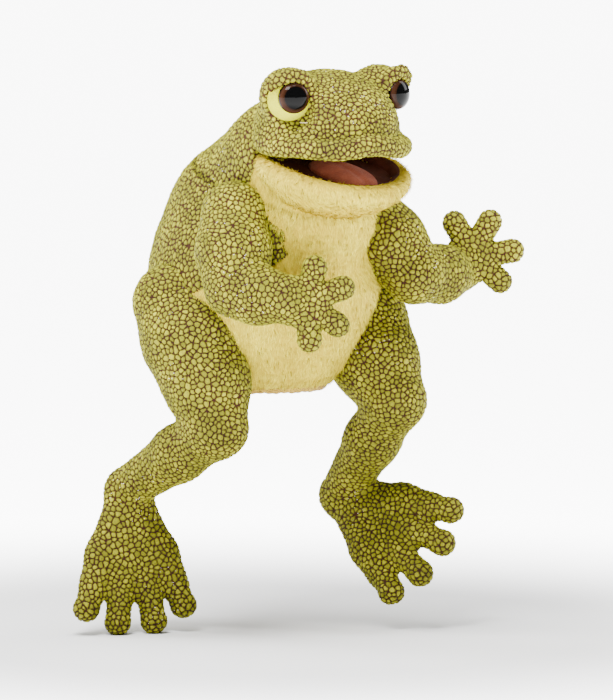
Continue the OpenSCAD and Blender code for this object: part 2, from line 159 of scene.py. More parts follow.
def grid_values(field, axes, step):
    """The field on a grid: exact in blocks near the surface, and one value for the whole block elsewhere."""
    middles = [a.reshape(-1, BLOCK).mean(1) for a in axes]
    coarse = field(np.stack(np.meshgrid(*middles, indexing="ij"), -1)).astype(np.float32)
    value = coarse
    for axis in range(3):
        value = np.repeat(value, BLOCK, axis)
    near = np.nonzero(np.abs(value) < 1.6 * BLOCK * step)
    value[near] = field(np.stack([a[i] for a, i in zip(axes, near)], -1))
    return value


def surface_net(field, low, high, step):
    """Even quad mesh of the field's zero surface: (points in mm, quads)."""
    blocks = [math.ceil((high[i] - low[i]) / (step * BLOCK)) for i in range(3)]
    axes = [low[i] + step * np.arange(BLOCK * blocks[i]) for i in range(3)]
    value = grid_values(field, [a.astype(np.float32) for a in axes], step)
    inside = value < 0
    nx, ny, nz = (n - 1 for n in inside.shape)
    count = sum(
        inside[i:i + nx, j:j + ny, k:k + nz].astype(np.int8)
        for i in (0, 1) for j in (0, 1) for k in (0, 1)
    )
    cells = np.argwhere((count > 0) & (count < 8))
    index = np.full(count.shape, -1, np.int32)
    index[tuple(cells.T)] = np.arange(len(cells))
    corner = np.array([(i, j, k) for i in (0, 1) for j in (0, 1) for k in (0, 1)])
    at = [value[tuple((cells + c).T)] for c in corner]
    total, hits = np.zeros((len(cells), 3)), np.zeros(len(cells))
    for a in range(8):
        for b in range(a + 1, 8):
            if np.abs(corner[a] - corner[b]).sum() != 1:
                continue
            crosses = (at[a] < 0) != (at[b] < 0)
            t = np.where(crosses, at[a] / np.where(crosses, at[a] - at[b], 1), 0)
            point = corner[a] + t[:, None] * (corner[b] - corner[a])
            total += point * crosses[:, None]
            hits += crosses
    points = (cells + total / hits[:, None]) * step + np.array(low)
    quads = []
    for axis in range(3):
        first = [slice(None)] * 3
        second = [slice(None)] * 3
        first[axis], second[axis] = slice(0, -1), slice(1, None)
        va, vb = inside[tuple(first)], inside[tuple(second)]
        u, v = [k for k in range(3) if k != axis]
        edges = np.argwhere(va != vb)
        edges = edges[(edges[:, u] > 0) & (edges[:, v] > 0)]
        du, dv = np.zeros(3, int), np.zeros(3, int)
        du[u], dv[v] = 1, 1
        ring = [edges - du - dv, edges - dv, edges, edges - du]
        quad = np.stack([index[tuple(np.minimum(c, np.array(index.shape) - 1).T)] for c in ring], 1)
        flip = va[tuple(edges.T)]
        if axis == 1:
            flip = ~flip
        quad[~flip] = quad[~flip][:, ::-1]
        quads.append(quad[(quad >= 0).all(1)])
    return points, np.concatenate(quads)


def neighbours_mean(points, quads, rounds):
    """Smooths the mesh by moving each point halfway to the mean of its neighbours."""
    a = quads.ravel()
    b = np.roll(quads, -1, axis=1).ravel()
    n = len(points)
    degree = np.bincount(a, minlength=n) + np.bincount(b, minlength=n)
    for _ in range(rounds):
        mean = np.stack([
            np.bincount(a, points[b, i], n) + np.bincount(b, points[a, i], n) for i in range(3)
        ], 1) / np.maximum(degree, 1)[:, None]
        points = points + 0.5 * (mean - points)
    return points


def normals_of(points, quads):
    n = np.cross(points[quads[:, 2]] - points[quads[:, 0]], points[quads[:, 3]] - points[quads[:, 1]])
    out = np.stack([
        sum(np.bincount(quads[:, c], n[:, i], len(points)) for c in range(4)) for i in range(3)
    ], 1)
    return out / np.maximum(np.linalg.norm(out, axis=1), 1e-9)[:, None]


def part_of(points, quads, keep, *extra):
    """The quads kept, with only their own points and those points' extra values."""
    quads = quads[keep]
    used = np.unique(quads)
    new = np.full(len(points), -1)
    new[used] = np.arange(len(used))
    return [points[used], new[quads]] + [e[used] for e in extra]


def mesh_object(name, points, faces, material, values=None, normals=None):
    """Mesh object from points in mm; values are named numbers on its points."""
    mesh = bpy.data.meshes.new(name)
    groups = faces if isinstance(faces, list) else [faces]
    sizes = np.concatenate([np.full(len(g), g.shape[1]) for g in groups])
    mesh.vertices.add(len(points))
    mesh.vertices.foreach_set("co", (np.asarray(points) * MM).astype(np.float32).ravel())
    mesh.loops.add(int(sizes.sum()))
    mesh.loops.foreach_set("vertex_index", np.concatenate([g.ravel() for g in groups]).astype(np.int32))
    mesh.polygons.add(len(sizes))
    mesh.polygons.foreach_set("loop_start", (np.cumsum(sizes) - sizes).astype(np.int32))
    mesh.update(calc_edges=True)
    for key, data in (values or {}).items():
        mesh.attributes.new(key, "FLOAT", "POINT").data.foreach_set("value", np.asarray(data, np.float32))
    rest = mesh.attributes.new("rest", "FLOAT_VECTOR", "POINT")
    rest.data.foreach_set("vector", (np.asarray(points) * MM).astype(np.float32).ravel())
    mesh.shade_smooth()
    if normals is not None:
        mesh.normals_split_custom_set_from_vertices(np.asarray(normals, float).tolist())
    mesh.materials.append(material)
    obj = bpy.data.objects.new(name, mesh)
    bpy.context.scene.collection.objects.link(obj)
    return obj


# ---------------------------------------------------------------- node materials

def new_material(name):
    m = bpy.data.materials.new(name)
    m.use_nodes = True
    m.node_tree.nodes.clear()
    return m


class Nodes:
    """Short way to write a material's node tree."""

    def __init__(self, material):
        self.tree = material.node_tree

    def add(self, kind, inputs=None, **settings):
        node = self.tree.nodes.new(kind)
        for key, value in settings.items():
            setattr(node, key, value)
        for key, value in (inputs or {}).items():
            if isinstance(value, bpy.types.NodeSocket):
                self.tree.links.new(value, node.inputs[key])
            else:
                node.inputs[key].default_value = value
        return node

    def number(self, name):
        return self.add("ShaderNodeAttribute", attribute_name=name).outputs["Fac"]

    def rest(self):
        return self.add("ShaderNodeAttribute", attribute_name="rest").outputs["Vector"]

    def noise(self, scale, detail=3, roughness=0.5):
        return self.add(
            "ShaderNodeTexNoise",
            {"Vector": self.rest(), "Scale": scale, "Detail": detail, "Roughness": roughness},
        ).outputs["Fac"]

    def math(self, operation, a, b=0.0):
        return self.add("ShaderNodeMath", {0: a, 1: b}, operation=operation).outputs[0]

    def weighted(self, *parts):
        """Sum of values, each times its weight."""
        terms = [self.math("MULTIPLY", value, weight) for value, weight in parts]
        total = terms[0]
        for term in terms[1:]:
            total = self.math("ADD", total, term)
        return total

    def ramp(self, value, stops):
        node = self.add("ShaderNodeValToRGB", {"Fac": value})
        ramp = node.color_ramp
        while len(ramp.elements) < len(stops):
            ramp.elements.new(0.5)
        for element, (position, colour) in zip(ramp.elements, stops):
            element.position = position
            element.color = (*colour, 1)
        return node.outputs["Color"]

    def mix(self, factor, a, b, blend="MIX"):
        node = self.add("ShaderNodeMix", data_type="RGBA", blend_type=blend)
        for key, value in (("Factor", factor), ("A", a), ("B", b)):
            index = {"Factor": 0, "A": 6, "B": 7}[key]
            if isinstance(value, bpy.types.NodeSocket):
                self.tree.links.new(value, node.inputs[index])
            else:
                node.inputs[index].default_value = value if index == 0 else (*value, 1)
        return node.outputs[2]

    def bump(self, height, distance, strength=1.0):
        return self.add(
            "ShaderNodeBump", {"Height": height, "Distance": distance, "Strength": strength}
        ).outputs["Normal"]

    def finish(self, **inputs):
        names = {
            "base": "Base Color", "rough": "Roughness", "normal": "Normal", "sheen": "Sheen Weight",
            "sheen_rough": "Sheen Roughness", "specular": "Specular IOR Level",
        }
        shader = self.add("ShaderNodeBsdfPrincipled", {names[k]: v for k, v in inputs.items()})
        self.add("ShaderNodeOutputMaterial", {"Surface": shader.outputs[0]})
        return shader


def scale_fabric():
    """Raised yellow-green pebbles printed on a thin red-brown ground, with painted shade darkening the
    grooves and each pebble's rim, and a few points of glitter painted white-pink as painted sparkle.
    """
    m = new_material("scale_fabric")
    n = Nodes(m)
    edge, cell, lie = n.number("edge"), n.number("cell"), n.rest()
    mottle = n.noise(45, 3)
    stipple = n.noise(1500, 2, roughness=0.7)
    blotch = n.noise(9, 2)
    lit = n.weighted((cell, 0.30), (mottle, 0.70))
    top = n.ramp(lit, [
        (0.15, (0.095, 0.096, 0.003)), (0.45, (0.205, 0.203, 0.006)),
        (0.70, (0.370, 0.355, 0.014)), (0.95, (0.640, 0.600, 0.048)),
    ])
    top = n.mix(n.math("MULTIPLY", blotch, 0.35), top, (0.130, 0.122, 0.005))
    grain = n.ramp(stipple, [(0.30, (0.45, 0.45, 0.42)), (0.62, (1.15, 1.15, 1.08))])
    top = n.mix(0.8, top, grain, "MULTIPLY")
    wander = n.math("ADD", edge, n.math("MULTIPLY", n.math("SUBTRACT", n.noise(700, 2), 0.5), 0.5))
    # Groove colour: the print's red-brown ground, mixed towards near-black as painted shade down in the
    # grooves.
    ground = n.mix(mottle, (0.010, 0.003, 0.001), (0.050, 0.012, 0.004))
    # Darker olive band round each pebble's edge: the print's darker outline, deepened as painted shade where
    # the pebble slopes into the groove.
    rim = n.mix(n.ramp(wander, [(0.30, (0, 0, 0)), (0.80, (1, 1, 1))]), (0.052, 0.044, 0.003), top)
    base = n.mix(n.ramp(wander, [(0.20, (0, 0, 0)), (0.40, (1, 1, 1))]), ground, rim)
    # Glitter specks: painted white-pink as painted sparkle of light off the glitter; their lower roughness is
    # real gloss.
    spots = n.add("ShaderNodeTexVoronoi", {"Vector": lie, "Scale": 1500.0})
    chance = n.add("ShaderNodeSeparateColor", {"Color": spots.outputs["Color"]}).outputs[0]
    patchy = n.ramp(n.noise(22, 1), [(0.58, (0, 0, 0)), (0.66, (1, 1, 1))])
    painted_glint = n.math("MULTIPLY", n.math("GREATER_THAN", chance, 0.988), patchy)
    painted_glint = n.math("MULTIPLY", painted_glint, n.math("LESS_THAN", spots.outputs["Distance"], 0.42))
    base = n.mix(painted_glint, base, (0.95, 0.80, 0.82))
    height = n.weighted((stipple, 0.5), (n.noise(420, 3), 0.7))
    rough = n.math("SUBTRACT", 0.72, n.math("MULTIPLY", painted_glint, 0.5))
    n.finish(base=base, rough=rough, normal=n.bump(height, 0.00045, 0.8), specular=0.13)
    return m


def pile_fabric(name, dark, middle, light):
    """Short pile: darker at the roots and lighter towards the tips, as painted shade among the fibres and
    painted light on their tips.
    """
    m = new_material(name)
    n = Nodes(m)
    tip, strand = n.number("tip"), n.number("strand")
    drift = n.noise(30, 3)
    tufts = n.noise(260, 2)
    uneven = n.math("SUBTRACT", tufts, 0.5)
    # tip runs from 0 at a fibre's root to 1 at its tip: it carries the painted shade at the roots and the
    # painted light at the tips.
    tone = n.weighted((strand, 0.30), (drift, 0.35), (tip, 0.40), (uneven, 0.3))
    base = n.ramp(tone, [(0.18, dark), (0.5, middle), (0.85, light)])
    n.finish(base=base, rough=0.75, normal=n.bump(tufts, 0.0005, 0.6), specular=0.2)
    return m


def velour(name, dark, light, sheen=0.0):
    """Short dense pile, with crushed and lifted patches."""
    m = new_material(name)
    n = Nodes(m)
    fibre = n.noise(1300, 2, roughness=0.8)
    crush = n.noise(60, 4)
    base = n.ramp(n.weighted((fibre, 0.5), (crush, 0.5)), [(0.3, dark), (0.7, light)])
    n.finish(
        base=base, rough=0.8, normal=n.bump(fibre, 0.0004), sheen=sheen, sheen_rough=0.3, specular=0.15,
    )
    return m


def woven(name, dark, light, threads=1400):
    """Plain weave: two crossing waves of thread, with slight slubs."""
    m = new_material(name)
    n = Nodes(m)
    place = n.add("ShaderNodeSeparateXYZ", {"Vector": n.rest()})
    around = n.math("ADD", place.outputs[0], place.outputs[1])
    warp = n.math("SINE", n.math("MULTIPLY", around, threads * 3.0))
    weft = n.math("SINE", n.math("MULTIPLY", place.outputs[2], threads * 4.0))
    cross = n.math("ADD", n.math("MULTIPLY", n.math("MULTIPLY", warp, weft), 0.5), 0.5)
    slub = n.noise(250, 3)
    base = n.ramp(n.weighted((cross, 0.45), (slub, 0.55)), [(0.25, dark), (0.75, light)])
    n.finish(base=base, rough=0.85, normal=n.bump(cross, 0.0003), sheen=0.2)
    return m


def moulded(name, dark, light, rough):
    """Plain board or plastic, faintly clouded."""
    m = new_material(name)
    n = Nodes(m)
    cloud = n.noise(90, 4)
    base = n.ramp(cloud, [(0.3, dark), (0.7, light)])
    clouded = n.math("ADD", rough, n.math("MULTIPLY", cloud, 0.12))
    n.finish(base=base, rough=clouded, normal=n.bump(n.noise(900, 2), 0.0001, 0.4))
    return m


def iris_paint():
    """Brown ring round a black pupil, by distance from the eye's axis."""
    m = new_material("eye_iris")
    n = Nodes(m)
    out = n.number("out")
    streak = n.noise(900, 3)
    place = n.math("ADD", out, n.math("MULTIPLY", n.math("SUBTRACT", streak, 0.5), 0.05))
    base = n.ramp(place, [
        (0.70, (0.001, 0.001, 0.001)), (0.74, (0.014, 0.005, 0.002)), (0.86, (0.026, 0.010, 0.005)),
        (0.93, (0.032, 0.012, 0.006)), (0.99, (0.005, 0.003, 0.002)),
    ])
    n.finish(base=base, rough=0.05, specular=0.07)
    return m


SCALES = scale_fabric()
# Plush colours: painted shade for the roots, the pile's middle tone, and lighter tips as painted light.
PLUSH = pile_fabric("belly_plush", (0.36, 0.235, 0.006), (0.61, 0.470, 0.018), (0.92, 0.800, 0.070))
PATCH = velour("eye_patch_velour", (0.36, 0.37, 0.001), (0.62, 0.61, 0.004))
MOUTH = velour("mouth_velour", (0.030, 0.006, 0.003), (0.110, 0.024, 0.011))
TONGUE = velour("tongue_velour", (0.17, 0.034, 0.016), (0.48, 0.135, 0.075), 0.06)
LINING = woven("lining_cloth", (0.42, 0.33, 0.12), (0.66, 0.55, 0.26))
BINDING = woven("hem_binding", (0.22, 0.115, 0.003), (0.50, 0.32, 0.016), 900)
BOARD = moulded("mouth_board", (0.36, 0.31, 0.24), (0.52, 0.46, 0.37), 0.8)
PLASTIC = moulded("washer_plastic", (0.74, 0.74, 0.72), (0.86, 0.86, 0.84), 0.4)
IRIS = iris_paint()


# ---------------------------------------------------------------- scales and pile as real geometry

STEP = 0.8
SCALE_GAP = 2.7
SCALE_HEIGHT = 1.35
SCALE_UNEVEN = 0.42
SCALE_SHOULDER = 1.9
SCALE_EDGE = 2.0


def scatter(points, quads, gap, seed):
    """Points spread over the mesh no closer than gap, all in mm."""
    mesh = bpy.data.meshes.new("scatter")
    mesh.from_pydata((points * MM).tolist(), [], quads.tolist())
    obj = bpy.data.objects.new("scatter", mesh)
    bpy.context.scene.collection.objects.link(obj)
    tree = bpy.data.node_groups.new("scatter", "GeometryNodeTree")
    tree.interface.new_socket("Geometry", in_out="INPUT", socket_type="NodeSocketGeometry")
    tree.interface.new_socket("Geometry", in_out="OUTPUT", socket_type="NodeSocketGeometry")
    start, end = tree.nodes.new("NodeGroupInput"), tree.nodes.new("NodeGroupOutput")
    spread = tree.nodes.new("GeometryNodeDistributePointsOnFaces")
    spread.distribute_method = "POISSON"
    spread.inputs["Distance Min"].default_value = gap * MM
    spread.inputs["Density Max"].default_value = 3.0 / (gap * MM) ** 2
    spread.inputs["Seed"].default_value = seed
    to_mesh = tree.nodes.new("GeometryNodePointsToVertices")
    tree.links.new(start.outputs[0], spread.inputs["Mesh"])
    tree.links.new(spread.outputs["Points"], to_mesh.inputs[0])
    tree.links.new(to_mesh.outputs[0], end.inputs[0])
    obj.modifiers.new("scatter", "NODES").node_group = tree
    done = obj.evaluated_get(bpy.context.evaluated_depsgraph_get())
    out = done.to_mesh()
    co = np.zeros(len(out.vertices) * 3, np.float32)
    out.vertices.foreach_get("co", co)
    done.to_mesh_clear()
    bpy.data.objects.remove(obj)
    bpy.data.meshes.remove(mesh)
    bpy.data.node_groups.remove(tree)
    return co.reshape(-1, 3).astype(float) / MM


def nearest_two(points, centres, weight, reach):
    """Weighted distances to the two nearest centres, and the nearest one's number.
    reach is the size of a search bin."""
    low = points.min(0) - 2 * reach
    span = np.ceil((points.max(0) - low) / reach).astype(int) + 3
    strides = np.array([span[1] * span[2], span[2], 1])
    bins = ((centres - low) // reach).astype(int) @ strides
    order = np.argsort(bins, kind="stable")
    bins = bins[order]
    home = ((points - low) // reach).astype(int) @ strides
    first, second = np.full(len(points), 1e6), np.full(len(points), 1e6)
    mine = np.zeros(len(points), int)
    for shift in np.ndindex(3, 3, 3):
        wanted = home + (np.array(shift) - 1) @ strides
        start, stop = np.searchsorted(bins, wanted), np.searchsorted(bins, wanted, "right")
        for slot in range(int((stop - start).max())):
            live = np.flatnonzero(start + slot < stop)
            c = order[start[live] + slot]
            d = np.linalg.norm(points[live] - centres[c], axis=1) - weight[c]
            nearer = d < first[live]
            second[live] = np.where(nearer, first[live], np.minimum(second[live], d))
            mine[live] = np.where(nearer, c, mine[live])
            first[live] = np.minimum(first[live], d)
    return first, second, mine


def pebbled(points, quads, seed, gap=SCALE_GAP, stretch=None, height=SCALE_HEIGHT):
    """Raises the mesh into rounded scales.
    Gives the new points, how far each is from its scale's edge, and its scale's shade.
    stretch is a direction, and how many times narrower the scales are along it."""
    flat = points
    if stretch is not None:
        d, times = np.asarray(stretch[0], float), stretch[1]
        flat = points + np.outer(points @ d, d) * (times - 1)
    centres = scatter(flat, quads, gap, seed)
    draw = np.random.default_rng(seed)
    weight = draw.uniform(-SCALE_UNEVEN, SCALE_UNEVEN, len(centres))
    shade = draw.uniform(0, 1, len(centres))
    first, second, mine = nearest_two(flat, centres, weight, 1.7 * gap)
    edge = second - first
    rise = 1 - (1 - np.clip(edge / SCALE_SHOULDER, 0, 1)) ** 2.4
    lift = height * (rise * (0.82 + 0.3 * shade[mine]) - 0.25)
    raised = points + normals_of(points, quads) * lift[:, None]
    return raised, np.minimum(edge / SCALE_EDGE, 2), shade[mine]


def scaled_skin(name, quads, keep, raised, edge, shade):
    """Skin of scale fabric made from the quads kept of a pebbled mesh."""
    points, quads, edge, shade = part_of(raised, quads, keep, edge, shade)
    return mesh_object(name, points, quads, SCALES, {"edge": edge, "cell": shade})


def areas_of(corner):
    """Areas of quads given by their four corners."""
    return 0.5 * np.linalg.norm(np.cross(corner[:, 2] - corner[:, 0], corner[:, 3] - corner[:, 1]), axis=1)


def pile(points, quads, normals, seed, count, length, lie_down, nap, bare=None):
    """Curved tapering fibres rooted in the mesh: points, faces, tip values, strand values and normals."""
    draw = np.random.default_rng(seed)
    corner = points[quads]
    area = areas_of(corner)
    pick = draw.choice(len(quads), count, p=area / area.sum())
    u, v = draw.random((2, count, 1))
    blend = [(1 - u) * (1 - v), u * (1 - v), u * v, (1 - u) * v]
    root = sum(corner[pick][:, i] * blend[i] for i in range(4))
    up = sum(normals[quads[pick]][:, i] * blend[i] for i in range(4))
    up /= np.linalg.norm(up, axis=1)[:, None]
    flow = nap(root)
    flow = flow - (flow * up).sum(1)[:, None] * up
    flow /= np.maximum(np.linalg.norm(flow, axis=1), 1e-6)[:, None]
    lie = lie_down(root)[:, None]
    clumps = 0.14 * np.sin(root[:, [1, 2, 0]] * 1.15 + 2.1 * np.sin(root * 0.6))
    stray = draw.normal(0, 0.15, (count, 3)) + clumps
    first = up * (1.05 - lie) + flow * lie + stray
    first /= np.linalg.norm(first, axis=1)[:, None]
    second = up * (0.75 - 0.7 * lie) + flow * (lie + 0.25) + stray * 1.5
    second /= np.linalg.norm(second, axis=1)[:, None]
    long = (length * draw.uniform(0.6, 1.15, count))[:, None]
    if bare is not None:
        long = long * (1 - bare(root)[:, None])
    wide = np.cross(first, up + draw.normal(0, 0.6, (count, 3)))
    wide *= (draw.uniform(0.13, 0.23, count) / np.maximum(np.linalg.norm(wide, axis=1), 1e-6))[:, None]
    base = root - up * 0.4
    middle = base + first * long * 0.5
    tip = middle + second * long * 0.5
    made = np.stack([base - wide, base + wide, middle - wide * 0.8, middle + wide * 0.8, tip], 1)
    start = np.arange(count)[:, None] * 5
    sides = np.concatenate([start + [0, 1, 3, 2]], 0)
    ends = start + [2, 3, 4]
    tone = draw.random(count)
    lean = up + 0.35 * first + draw.normal(0, 0.12, (count, 3))
    return (
        made.reshape(-1, 3), sides, ends, np.tile([0.0, 0.0, 0.55, 0.55, 1.0], count),
        np.repeat(tone, 5), np.repeat(lean / np.linalg.norm(lean, axis=1)[:, None], 5, axis=0),
    )


def plush_skin(name, points, quads, seed, per_mm2, length, lie_down, nap, bare=None):
    """Skin of pile fabric: the cloth itself and its fibres in one mesh."""
    normals = normals_of(points, quads)
    count = int(areas_of(points[quads]).sum() * per_mm2)
    hair, sides, ends, tip, strand, lean = pile(
        points, quads, normals, seed, count, length, lie_down, nap, bare)
    n = len(points)
    faces = [quads, sides + n, ends + n]
    # The cloth under the fibres takes tip 0.05, so it gets the roots' painted shade.
    return mesh_object(
        name, np.concatenate([points, hair]), faces, PLUSH,
        {"tip": np.concatenate([np.full(n, 0.05), tip]), "strand": np.concatenate([np.full(n, 0.5), strand])},
        np.concatenate([normals, lean]),
    )


# ---------------------------------------------------------------- forms, in mm

BODY_OUTLINE = [(41, -3), (47, 1), (55, 9), (66, 28), (73, 46), (77.5, 62), (75, 82), (71, 98),
                (65.5, 112), (59.5, 128), (52.5, 140), (43, 150), (28, 160), (10, 167), (0, 168)]


def torso_field(p):
    """Trunk, neck, throat and nape, less the mouth."""
    field = lathe(p, BODY_OUTLINE)
    neck = ellipsoid(p, NECK + (0, 2, 4), (48, 46, 46))
    field = soft_min(field, neck, 14)
    throat = ellipsoid(p, (2, -60, 112), (40, 33, 32))
    field = soft_min(field, throat, 14)
    nape = ellipsoid(p, (0, -46, 158), (47, 38, 35))
    field = soft_min(field, nape, 20)
    return soft_max(field, -mouth_space(p), 2)


def jaw_shut(p):
    """Where points of the open jaw would be if it were shut."""
    return (p - JAW_HINGE) @ turn("X", JAW_OPEN) + JAW_HINGE


def mouth_space(p):
    """The room between palate and jaw, in front of the fold."""
    q = jaw_shut(p)
    ahead = p[..., 1] + 56
    return soft_max(soft_max(p[..., 2] - 159, 147 - q[..., 2], 1), ahead, 3)


BROW = (35.5, -81.5, 194)
EYE_OUT = 18
EYE_R = 10.4
EYE_FORWARD = 15.0
HOOD_RADII = (2.2, 3.4, 4.0, 4.0, 3.2, 2.0)
PATCH_R = 17.2
SOCKET_AHEAD, SOCKET_R = 26, 21.5
NOSTRIL_R = 2.2
HEAD_BOTTOM = 161
UPPER_LIP_RING, UPPER_LIP_TUBE, UPPER_LIP_HEIGHT = 45.0, 4.8, 162.5


def head_field(p):
    """Head with its cheeks, brows, hoods over the eyes, eye sockets, nostrils and upper lip."""
    skull = ellipsoid(p, (0, -73, 176.5), (46.5, 45, 33.5))
    snout = ellipsoid(p, (0, -88, 173), (38, 36, 24))
    field = soft_min(skull, snout, 9)
    cheeks = ellipsoid(p, (0, -70, 166), (48, 40, 20))
    field = soft_min(field, cheeks, 8)
    for side in (RIGHT, LEFT):
        field = soft_min(field, ellipsoid(p, brow_centre(side), (19, 19, 18.5)), 5)
    field = soft_max(field, HEAD_BOTTOM - p[..., 2], 3)
    ahead = np.clip((-p[..., 1] - 82) / 48, 0, 1)
    dip = 1.6 * np.cos(p[..., 0] * 0.11) * ahead - 1.5
    level = p - UP * dip[..., None]
    roll = ring_arc(level, (*HEAD_AXIS, UPPER_LIP_HEIGHT), UPPER_LIP_RING, UPPER_LIP_TUBE, 112)
    field = soft_min(field, roll - 1.3 * ahead, 9 - 3 * ahead)
    for side in (RIGHT, LEFT):
        socket = brow_centre(side) + patch_axis(side) * SOCKET_AHEAD
        cup = np.linalg.norm(p - socket, axis=-1) - SOCKET_R
        field = soft_max(field, -cup, 1.2)
    for side in (RIGHT, LEFT):
        hood = hood_points(side)
        field = soft_min(field, chain(p, hood, HOOD_RADII, 1.5), 3.2)
        field = soft_max(field, NOSTRIL_R - np.linalg.norm(p - nostril(side), axis=-1), 2.0)
    return field


def brow_centre(side):
    return np.array([side * BROW[0], BROW[1], BROW[2]])


def eye_axis(side):
    o = math.radians(EYE_OUT)
    return np.array([side * math.sin(o), -math.cos(o), 0])


def patch_axis(side):
    """Middle of the eye patch: further out and lower than the eye."""
    return aim(side, EYE_OUT + 20, -12)


def eye_centre(side):
    return brow_centre(side) + aim(side, EYE_OUT + 6, 0) * EYE_FORWARD


def around_eye(side, angle, radius, forward):
    """Point round the eye's axis; angle 0 is up, and positive is towards the nose."""
    axis = eye_axis(side)
    inward = np.cross(axis, (0, 0, 1)) * side
    inward = inward / np.linalg.norm(inward)
    a = math.radians(angle)
    return eye_centre(side) + axis * forward + radius * (
        math.cos(a) * np.array([0, 0, 1]) + math.sin(a) * inward)


def hood_points(side):
    """Ridge of the brow over the eye: (angle, radius, forward) from its outer end to its inner one."""
    spots = (
        (-66, 16.0, -3.0), (-42, 15.2, -0.5), (-14, 14.8, 1.0),
        (20, 14.4, 0.5), (54, 14.2, -2.0), (86, 14.0, -5.0),
    )
    return [around_eye(side, *s) for s in spots]


def nostril(side):
    return np.array([side * 11, -127.5, 171])


LIP_RING = 44.8
LIP_TUBE = 5.8
LIP_HEIGHT = 146.2


def lip_wave(x):
    """How much higher the lower lip runs towards its sides."""
    return 4.0 * np.clip(np.abs(x) / 46, 0, 1) ** 2 - 0.8


def lip_crest(x, from_axis):
    """Height of the lining over the inner side of the lower lip, with the jaw shut."""
    over = LIP_TUBE + 0.8
    from_ring = min(max(LIP_RING - from_axis, 0.0) / over, 1.0)
    return LIP_HEIGHT + lip_wave(x) + over * math.sqrt(1 - from_ring ** 2)


def jaw_field(p):
    """Open lower jaw: a bowl with a rolled lip, hollowed for the mouth's floor."""
    q = jaw_shut(p)
    bowl = ellipsoid(q, (0, -83, 147), (47, 45, 27))
    bowl = soft_max(bowl, q[..., 2] - 147, 3)
    level = q - UP * lip_wave(q[..., 0])[..., None]
    roll = ring_arc(level, (*HEAD_AXIS, LIP_HEIGHT), LIP_RING, LIP_TUBE, 116)
    field = soft_min(bowl, roll, 9)
    hollow = ellipsoid(q, (0, -82, 153), (40.5, 40.5, 10))
    field = soft_max(field, -hollow, 2)
    return soft_max(field, q[..., 1] + 50, 4)


HAND_SHIFT = {RIGHT: np.array([-5.0, 3.5, -4.0]), LEFT: np.array([-5.0, 3.5, 1.0])}
ELBOW_SHIFT = {RIGHT: np.array([7.0, -5.0, 5.5]), LEFT: np.array([-2.0, 1.0, 3.0])}


def arm_field(side):
    at, dirs = limb_points(side, SHOULDER, ARM_POSE[side], ARM_LENGTHS)
    shoulder, elbow, wrist = at
    hand = limb_frame(dirs[2], 90 * side)

    def field(p):
        bend = elbow + ELBOW_SHIFT[side]
        bones = [shoulder - dirs[0] * 4, shoulder + dirs[0] * 26 + 0.4 * ELBOW_SHIFT[side], bend]
        upper = chain(p, bones, (21, 23, 18.5), 8)
        fore = chain(p, [bend, elbow + dirs[1] * 24, wrist + 0.6 * HAND_SHIFT[side]], (18.5, 18, 15), 6)
        out = soft_min(upper, fore, 7)
        q = (p - wrist - HAND_SHIFT[side]) @ hand.astype(np.float32)
        paw = ellipsoid(q, (0, 0, PALM - 3), (15.5, 8.4, 18))
        for tip in FINGER_TIPS[side]:
            start = (0.45 * tip[0], 0, PALM + 0.3 * (tip[2] - PALM))
            middle = (0.82 * tip[0], 0.5, PALM + 0.8 * (tip[2] - PALM))
            finger = chain(q, [start, middle, tip], (7.4, 6.8, 7.4), 2)
            paw = soft_min(paw, finger, 3.2)
        return soft_min(out, paw, 6)
    return field, at, dirs


PALM = 17


def fingers(angles, reaches):
    """Fingertips about the middle of the palm, in the hand's own frame."""
    turned = [math.radians(a) for a in angles]
    return [(math.sin(a) * r, 0.0, PALM + math.cos(a) * r) for a, r in zip(turned, reaches)]


FINGER_TIPS = {
    RIGHT: fingers((82, 31, -29, -84), (24, 24, 25, 24)),
    LEFT: fingers((86, 29, -29, -80), (25, 25, 26, 25)),
}
TOE_ANGLES = (-23, -8, 8, 23)
TOE_REACHES = (86, 90, 90, 86)
WEB_FLATTENED = 1.45


def leg_field(side):
    at, dirs = limb_points(side, HIP, LEG_POSE[side], LEG_LENGTHS)
    hip, knee, ankle = at
    foot = limb_frame(dirs[2], FOOT_ROLL[side])

    def field(p):
        out_back = np.array([side * 9.0, 7.0, 0])
        bones = [hip + out_back, hip + dirs[0] * 26 + out_back * 0.35, hip + dirs[0] * 56, knee]
        thigh = chain(p, bones, (25, 30.5, 27, 19.5), 10)
        shin = chain(p, [knee, knee + dirs[1] * 40, ankle], (18.5, 17, 13.2), 8)
        out = soft_min(thigh, shin, 6)
        q = (p - ankle) @ foot.astype(np.float32)
        flat = q * np.array([1, WEB_FLATTENED, 1], np.float32)
        web = None
        for angle in TOE_ANGLES:
            s, c = math.sin(math.radians(angle)), math.cos(math.radians(angle))
            ray = chain(flat, [(0, 0, 4), (48 * s, 0, 48 * c), (70 * s, 0, 70 * c)], (12, 12, 10), 6)
            web = ray if web is None else soft_min(web, ray, 7)
        web = web / 1.2
        for angle, reach in zip(TOE_ANGLES, TOE_REACHES):
            s, c = math.sin(math.radians(angle)), math.cos(math.radians(angle))
            near_tip = reach - 9
            bones = [(60 * s, 0, 60 * c), (near_tip * s, 0.5, near_tip * c), (reach * s, 0, reach * c)]
            toe = chain(q, bones, (7.2, 7.0, 8.3), 2)
            web = soft_min(web, toe, 3.0)
        return soft_min(out, web, 6)
    return field, at, dirs


# ---------------------------------------------------------------- torso, throat and head

def above(points, origin, normal):
    """Heights of points over a plane."""
    return (points - origin) @ np.asarray(normal, float)


def face_value(values, quads):
    """Mean over each quad of its points' values."""
    return values[quads].mean(1)


